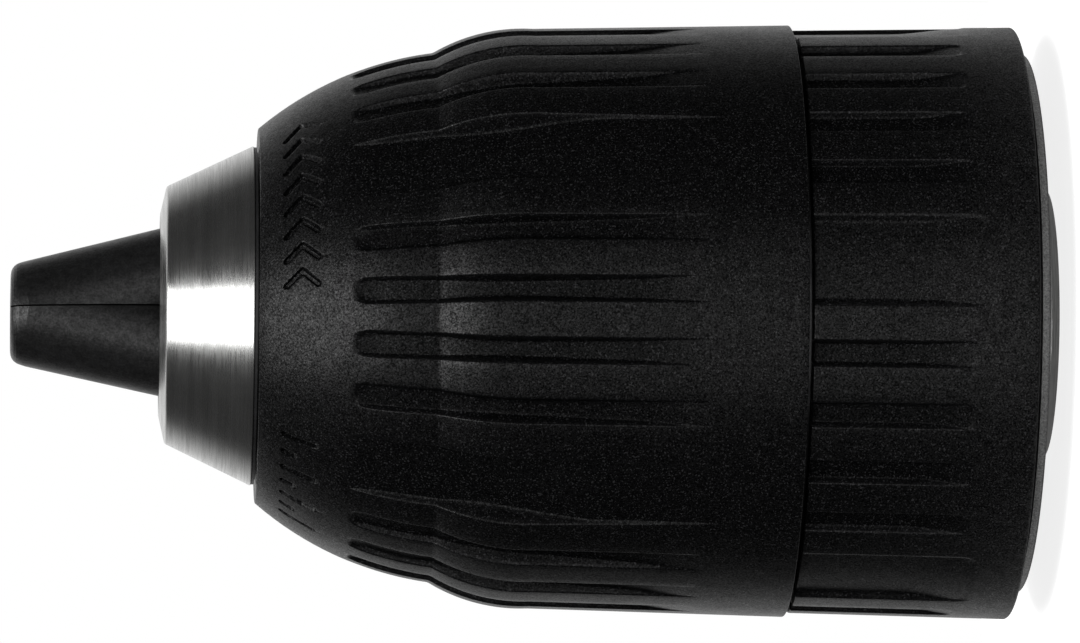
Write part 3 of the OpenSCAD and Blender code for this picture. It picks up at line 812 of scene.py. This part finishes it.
def nosepiece(material):
    """The steel cone round the jaws."""
    bevel_z = NOSE_FRONT_Z - NOSE_BEVEL_LEN
    slope = math.degrees(math.atan((NOSE_REAR_R - NOSE_FRONT_R) / (bevel_z - NOSE_REAR_Z)))
    rear = round_corner(NOSE_REAR_R - NOSE_EDGE_R, NOSE_REAR_Z + NOSE_EDGE_R, NOSE_EDGE_R, -90, slope, 8)
    front = round_corner(NOSE_FRONT_R - NOSE_FRONT_EDGE_R, bevel_z - NOSE_FRONT_EDGE_R, NOSE_FRONT_EDGE_R,
                         slope, NOSE_FRONT_EDGE_ANGLE, 8)
    outline = rear + front + [(NOSE_MOUTH_R + NOSE_MOUTH_BREAK, NOSE_FRONT_Z),
                              (NOSE_MOUTH_R, NOSE_FRONT_Z - NOSE_MOUTH_BREAK),
                              (NOSE_MOUTH_R, NOSE_FRONT_Z - NOSE_LIP_LEN),
                              (NOSE_NARROW_R, NOSE_FRONT_Z - NOSE_LIP_LEN),
                              (NOSE_NARROW_R, NOSE_REAR_Z + NOSE_STEP_LEN),
                              (NOSE_WIDE_R, NOSE_REAR_Z + NOSE_STEP_LEN), (NOSE_WIDE_R, NOSE_REAR_Z)]
    mesh = ring_mesh("nosepiece_cone", outline, even_angles(NOSE_COLUMNS))
    place(mesh, material, "chuck_body", "brushed_steel", "nosepiece")


def sleeve_washer(material):
    """The thin washer between the sleeve and the nosepiece, with a narrow neck next to the sleeve."""
    rear_z, front_z, radius = span("sleeve_washer")
    neck_r, neck_z = radius - WASHER_NECK, rear_z + WASHER_NECK_LEN
    outline = [(SLEEVE_BORE_R, rear_z), (neck_r, rear_z), (neck_r, neck_z), (radius, neck_z),
               (radius, front_z), (SLEEVE_BORE_R, front_z)]
    mesh = ring_mesh("sleeve_washer_ring", outline, even_angles(RING_COLUMNS))
    place(mesh, material, "clamping_sleeve", "washer_plastic", "sleeve_washer")


def rear_cover(material):
    """The rough steel disc between the hub and the rear sleeve, with a neck below the sleeve's edge."""
    edge = round_corner(COVER_R - COVER_EDGE_R, COVER_REAR_Z + COVER_EDGE_R, COVER_EDGE_R, -90, 0, 8)
    neck_z = REAR_REAR_Z - COVER_NECK_LEN
    outline = [(HUB_R, COVER_REAR_Z)] + edge
    outline += [(COVER_R, neck_z), (COVER_R - COVER_NECK, neck_z), (COVER_R - COVER_NECK, COVER_FRONT_Z),
                (HUB_R, COVER_FRONT_Z)]
    mesh = ring_mesh("rear_cover_disc", outline, even_angles(RING_COLUMNS))
    place(mesh, material, "chuck_body", "blasted_steel", "rear_cover")


def dress_cad(materials):
    """Gives the CAD nodes that stay their finish."""
    for node, material in materials.items():
        part = frame["nodes"][node]
        for mesh_slot in part.material_slots:
            mesh_slot.material = material
        if not part.material_slots:
            part.data.materials.append(material)


# ---------------------------------------------------------------- studio

def studio_world():
    """White backdrop behind the chuck and a dim studio at its sides and in front. The camera sees white."""
    g = Graph("studio", world=True)
    bpy.context.scene.world = g.owner
    xyz = g.node("SeparateXYZ", {0: g.node("TexCoord").outputs["Generated"]}).outputs
    behind = g.math("DIVIDE", xyz[1], g.hypotenuse(xyz[0], xyz[1]))
    backdrop = g.node("MapRange", {"Value": behind, "From Min": BACKDROP_START, "From Max": BACKDROP_END},
                      interpolation_type="SMOOTHSTEP").outputs["Result"]
    studio = g.math("ADD", STUDIO_DIM, g.math("MULTIPLY", backdrop, BACKDROP_LEVEL - STUDIO_DIM))
    level = g.math("MAXIMUM", studio, g.node("LightPath").outputs["Is Camera Ray"])
    light = g.node("Background", {"Color": (1, 1, 1, 1), "Strength": level})
    g.node("OutputWorld", {"Surface": light.outputs[0]})


def softbox(name, elevation, half_angles, level):
    """A rectangular lamp in front of the chuck, hidden from the camera. Its half width and half height
    are angles seen from the chuck, and its level is its radiance."""
    data = bpy.data.lights.new(name, "AREA")
    data.shape = "RECTANGLE"
    data.size, data.size_y = (2 * LAMP_DISTANCE * MM * math.tan(math.radians(a)) for a in half_angles)
    data.energy = level * math.pi * data.size * data.size_y
    lamp = bpy.data.objects.new(name, data)
    bpy.context.scene.collection.objects.link(lamp)
    target = Vector((0, 0, TIP_Z / 2 * MM))
    tilt = math.radians(elevation)
    lamp.location = target + LAMP_DISTANCE * MM * Vector((0, -math.cos(tilt), math.sin(tilt)))
    lamp.rotation_euler = (target - lamp.location).to_track_quat("-Z", "Y").to_euler()
    lamp.visible_camera = False


def camera():
    """Looks at the chuck's side from a distance, rolled so that the jaws point left in the picture."""
    data = bpy.data.cameras.new("camera")
    data.sensor_width = 36
    data.lens = CAMERA_LENS
    cam = bpy.data.objects.new("camera", data)
    bpy.context.scene.collection.objects.link(cam)
    eye = Vector(CAMERA_AT) * MM
    target = Vector(CAMERA_TARGET) * MM
    back = (eye - target).normalized()
    roll = math.radians(CAMERA_ROLL)
    up = Vector((math.cos(roll), 0, math.sin(roll)))
    right = up.cross(back).normalized()
    up = back.cross(right)
    turn = Matrix((right, up, back)).transposed().to_4x4()
    cam.matrix_world = Matrix.Translation(eye) @ turn
    bpy.context.scene.camera = cam


def studio_floor():
    """A plain pale floor that keeps the chuck's shadow and meets the white backdrop."""
    mesh = bpy.data.meshes.new("floor")
    bm = bmesh.new()
    bmesh.ops.create_circle(bm, cap_ends=True, segments=96, radius=FLOOR_R * MM)
    bm.to_mesh(mesh)
    bm.free()
    floor = bpy.data.objects.new("floor", mesh)
    bpy.context.scene.collection.objects.link(floor)
    floor.location.z = cad_box[0].z - FLOOR_DROP * MM
    g = Graph("pale_floor")
    grain = g.noise(g.point(), 3, 3, 0.5)
    diffuse = g.node("BsdfDiffuse", {"Color": g.blend(grain, (0.58, 0.58, 0.58), (0.62, 0.62, 0.62))})
    paths = g.node("LightPath").outputs
    mirrored = g.math("MAXIMUM", paths["Is Glossy Ray"], paths["Is Transmission Ray"])
    lift = g.math("MAXIMUM", g.math("MULTIPLY", paths["Is Camera Ray"], FLOOR_LIFT),
                  g.math("MULTIPLY", mirrored, MIRRORED_LIFT))
    glow = g.node("Emission", {"Color": (1, 1, 1, 1), "Strength": lift})
    both = g.node("AddShader", {0: diffuse.outputs[0], 1: glow.outputs[0]})
    g.node("OutputMaterial", {"Surface": both.outputs[0]})
    mesh.materials.append(g.owner)


def build():
    plastic = grained_plastic()
    front_sleeve(plastic)
    rear_sleeve(plastic)
    nosepiece(brushed_steel("brushed_steel"))
    sleeve_washer(washer_plastic())
    rear_cover(blasted_steel())
    jaw_steel = blackened_steel("jaw_steel")
    nut_steel = turned_metal("nut_steel", (0.5, 0.5, 0.49))
    bearing = turned_metal("bearing_steel", (0.7, 0.7, 0.69), 0.15)
    dress_cad({
        "body": body_steel(), "jaw_1": jaw_steel, "jaw_2": jaw_steel, "jaw_3": jaw_steel,
        "nut_half_1": nut_steel, "nut_half_2": nut_steel, "nut_band": nut_steel,
        "bearing_rear_race": bearing, "bearing_front_race": bearing, "bearing_balls": bearing,
        "bearing_cage": turned_metal("cage_brass", (0.62, 0.43, 0.16)),
    })


def light_studio():
    studio_world()
    softbox("high_softbox", elevation=56, half_angles=(17, 23), level=5.4)
    softbox("front_softbox", elevation=3, half_angles=(27, 18), level=1.04)
    studio_floor()
    camera()
    bpy.context.scene.view_settings.view_transform = "Standard"


build()
light_studio()
